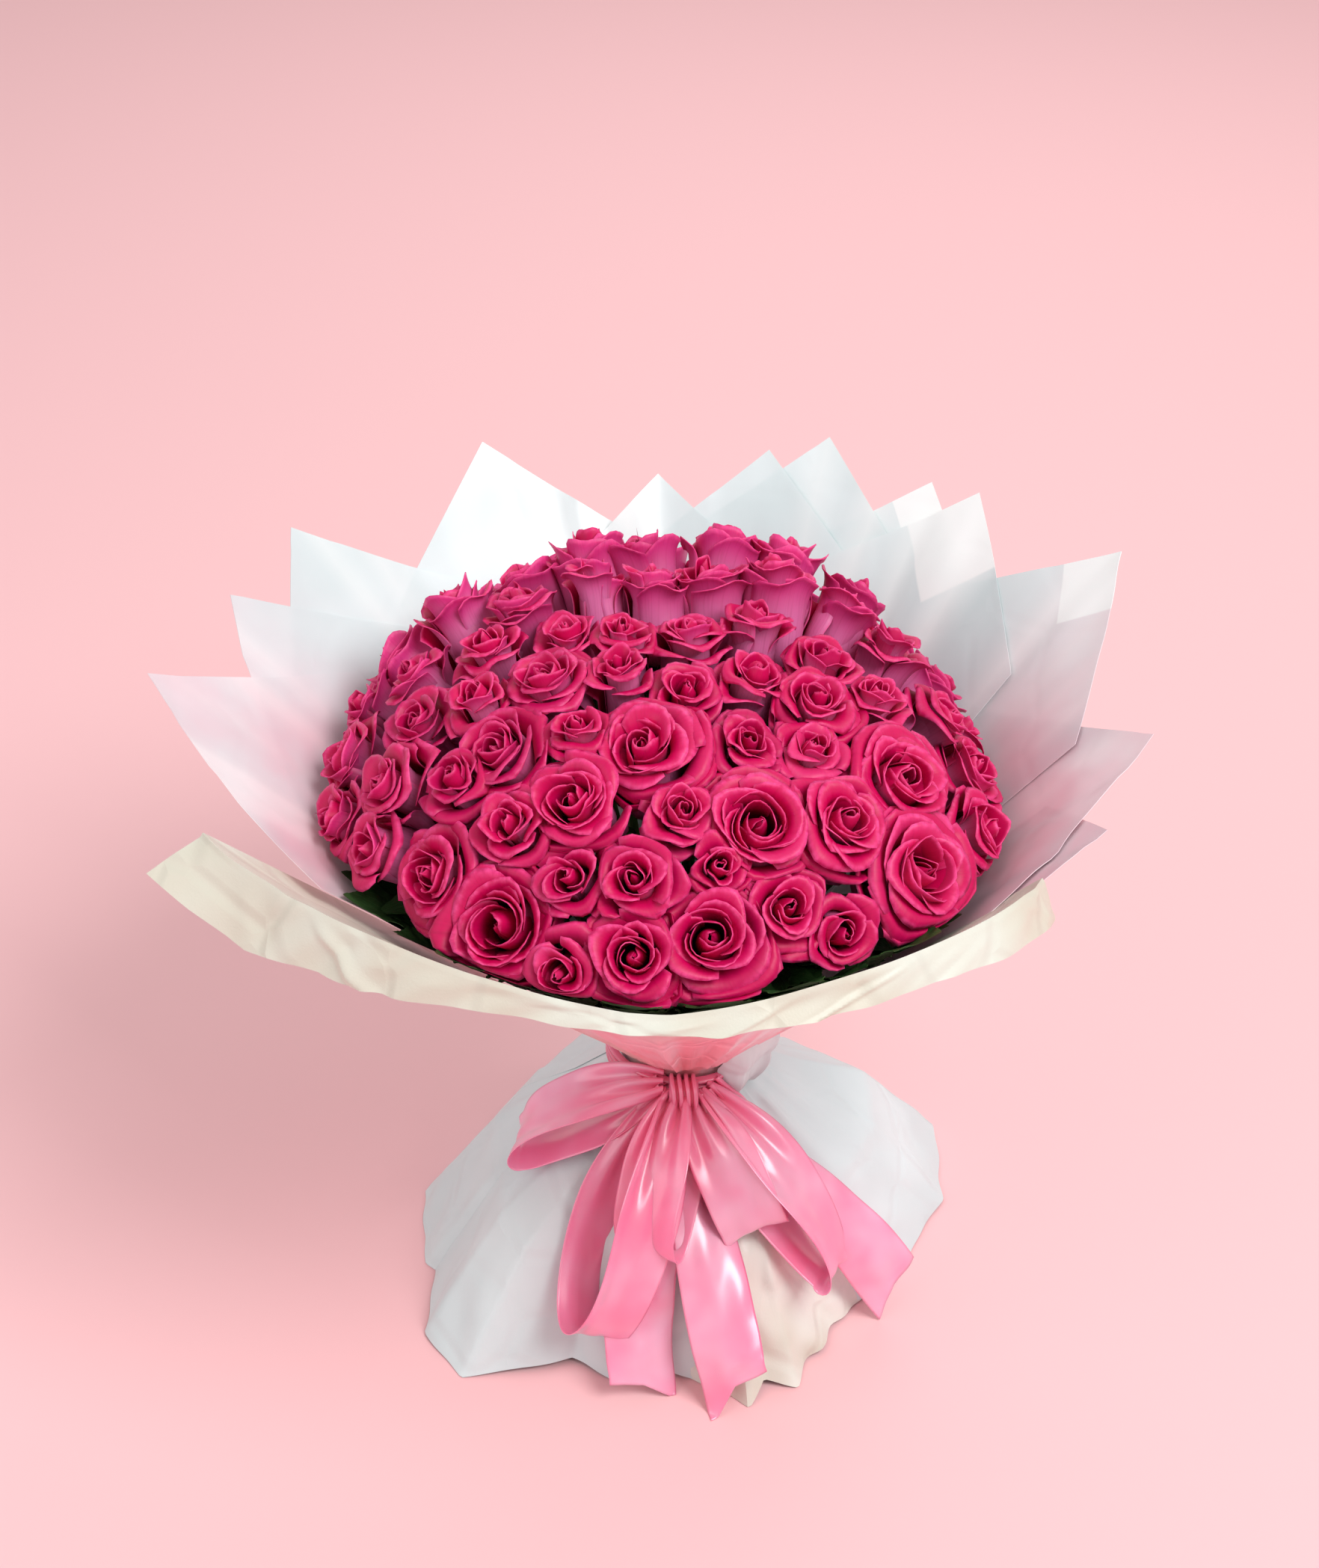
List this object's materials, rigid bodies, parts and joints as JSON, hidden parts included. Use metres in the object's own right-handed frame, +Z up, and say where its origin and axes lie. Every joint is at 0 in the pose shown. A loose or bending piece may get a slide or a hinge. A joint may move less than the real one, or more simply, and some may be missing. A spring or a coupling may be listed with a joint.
{
  "type": "wrapped rose bouquet",
  "caption": "Hand-tied bouquet of deep pink roses in a pointed white paper collar, tied with a satin bow, standing on its cut stems and flared paper skirt.",
  "frame": {"origin": "middle of the bouquet's own box on the surface that its cut stems stand on", "axes": "+Z up along the tied stems, -Y the front with the bow and the turned-down cuff, +X the bouquet's right seen from the front"},
  "size_m": [0.4944, 0.4548, 0.405],
  "materials": {
    "petal": "soft satin rose petal",
    "leaf": "green stem, sepal and leaf",
    "twine": "matte twine",
    "paper": "smooth translucent white wrapping sheet",
    "wrap": "matte cream wrapping sheet",
    "ribbon": "satin ribbon"
  },
  "bodies": {
    "root": {"collar_sheet_a": "paper", "collar_sheet_b": "paper", "collar_sheet_c": "paper", "collar_sheet_d": "paper", "collar_sheet_e": "paper", "collar_sheet_f": "paper", "collar_sheet_g": "paper", "collar_sheet_h": "paper", "collar_sheet_i": "paper", "collar_sheet_j": "paper", "collar_sheet_k": "paper", "collar_sheet_l": "paper", "front_wrap": "wrap", "ribbon_bow": "ribbon", "roses_01": "petal", "roses_02": "petal", "roses_03": "petal", "roses_04": "petal", "roses_05": "petal", "roses_06": "petal", "roses_07": "petal", "roses_08": "petal", "roses_09": "petal", "roses_10": "petal", "roses_11": "petal", "roses_12": "petal", "roses_13": "petal", "roses_14": "petal", "roses_15": "petal", "roses_16": "petal", "roses_17": "petal", "roses_18": "petal", "roses_19": "petal", "roses_20": "petal", "roses_21": "petal", "roses_22": "petal", "roses_23": "petal", "roses_24": "petal", "roses_25": "petal", "roses_26": "petal", "roses_27": "petal", "roses_28": "petal", "roses_29": "petal", "roses_30": "petal", "roses_31": "petal", "roses_32": "petal", "roses_33": "petal", "roses_34": "petal", "roses_35": "petal", "skirt_back": "paper", "skirt_left_back": "paper", "skirt_left_front": "paper", "skirt_right_back": "paper", "skirt_right_front": "paper", "stem_binding": "twine", "stems_and_leaves": "leaf"}
  },
  "joints": []
}
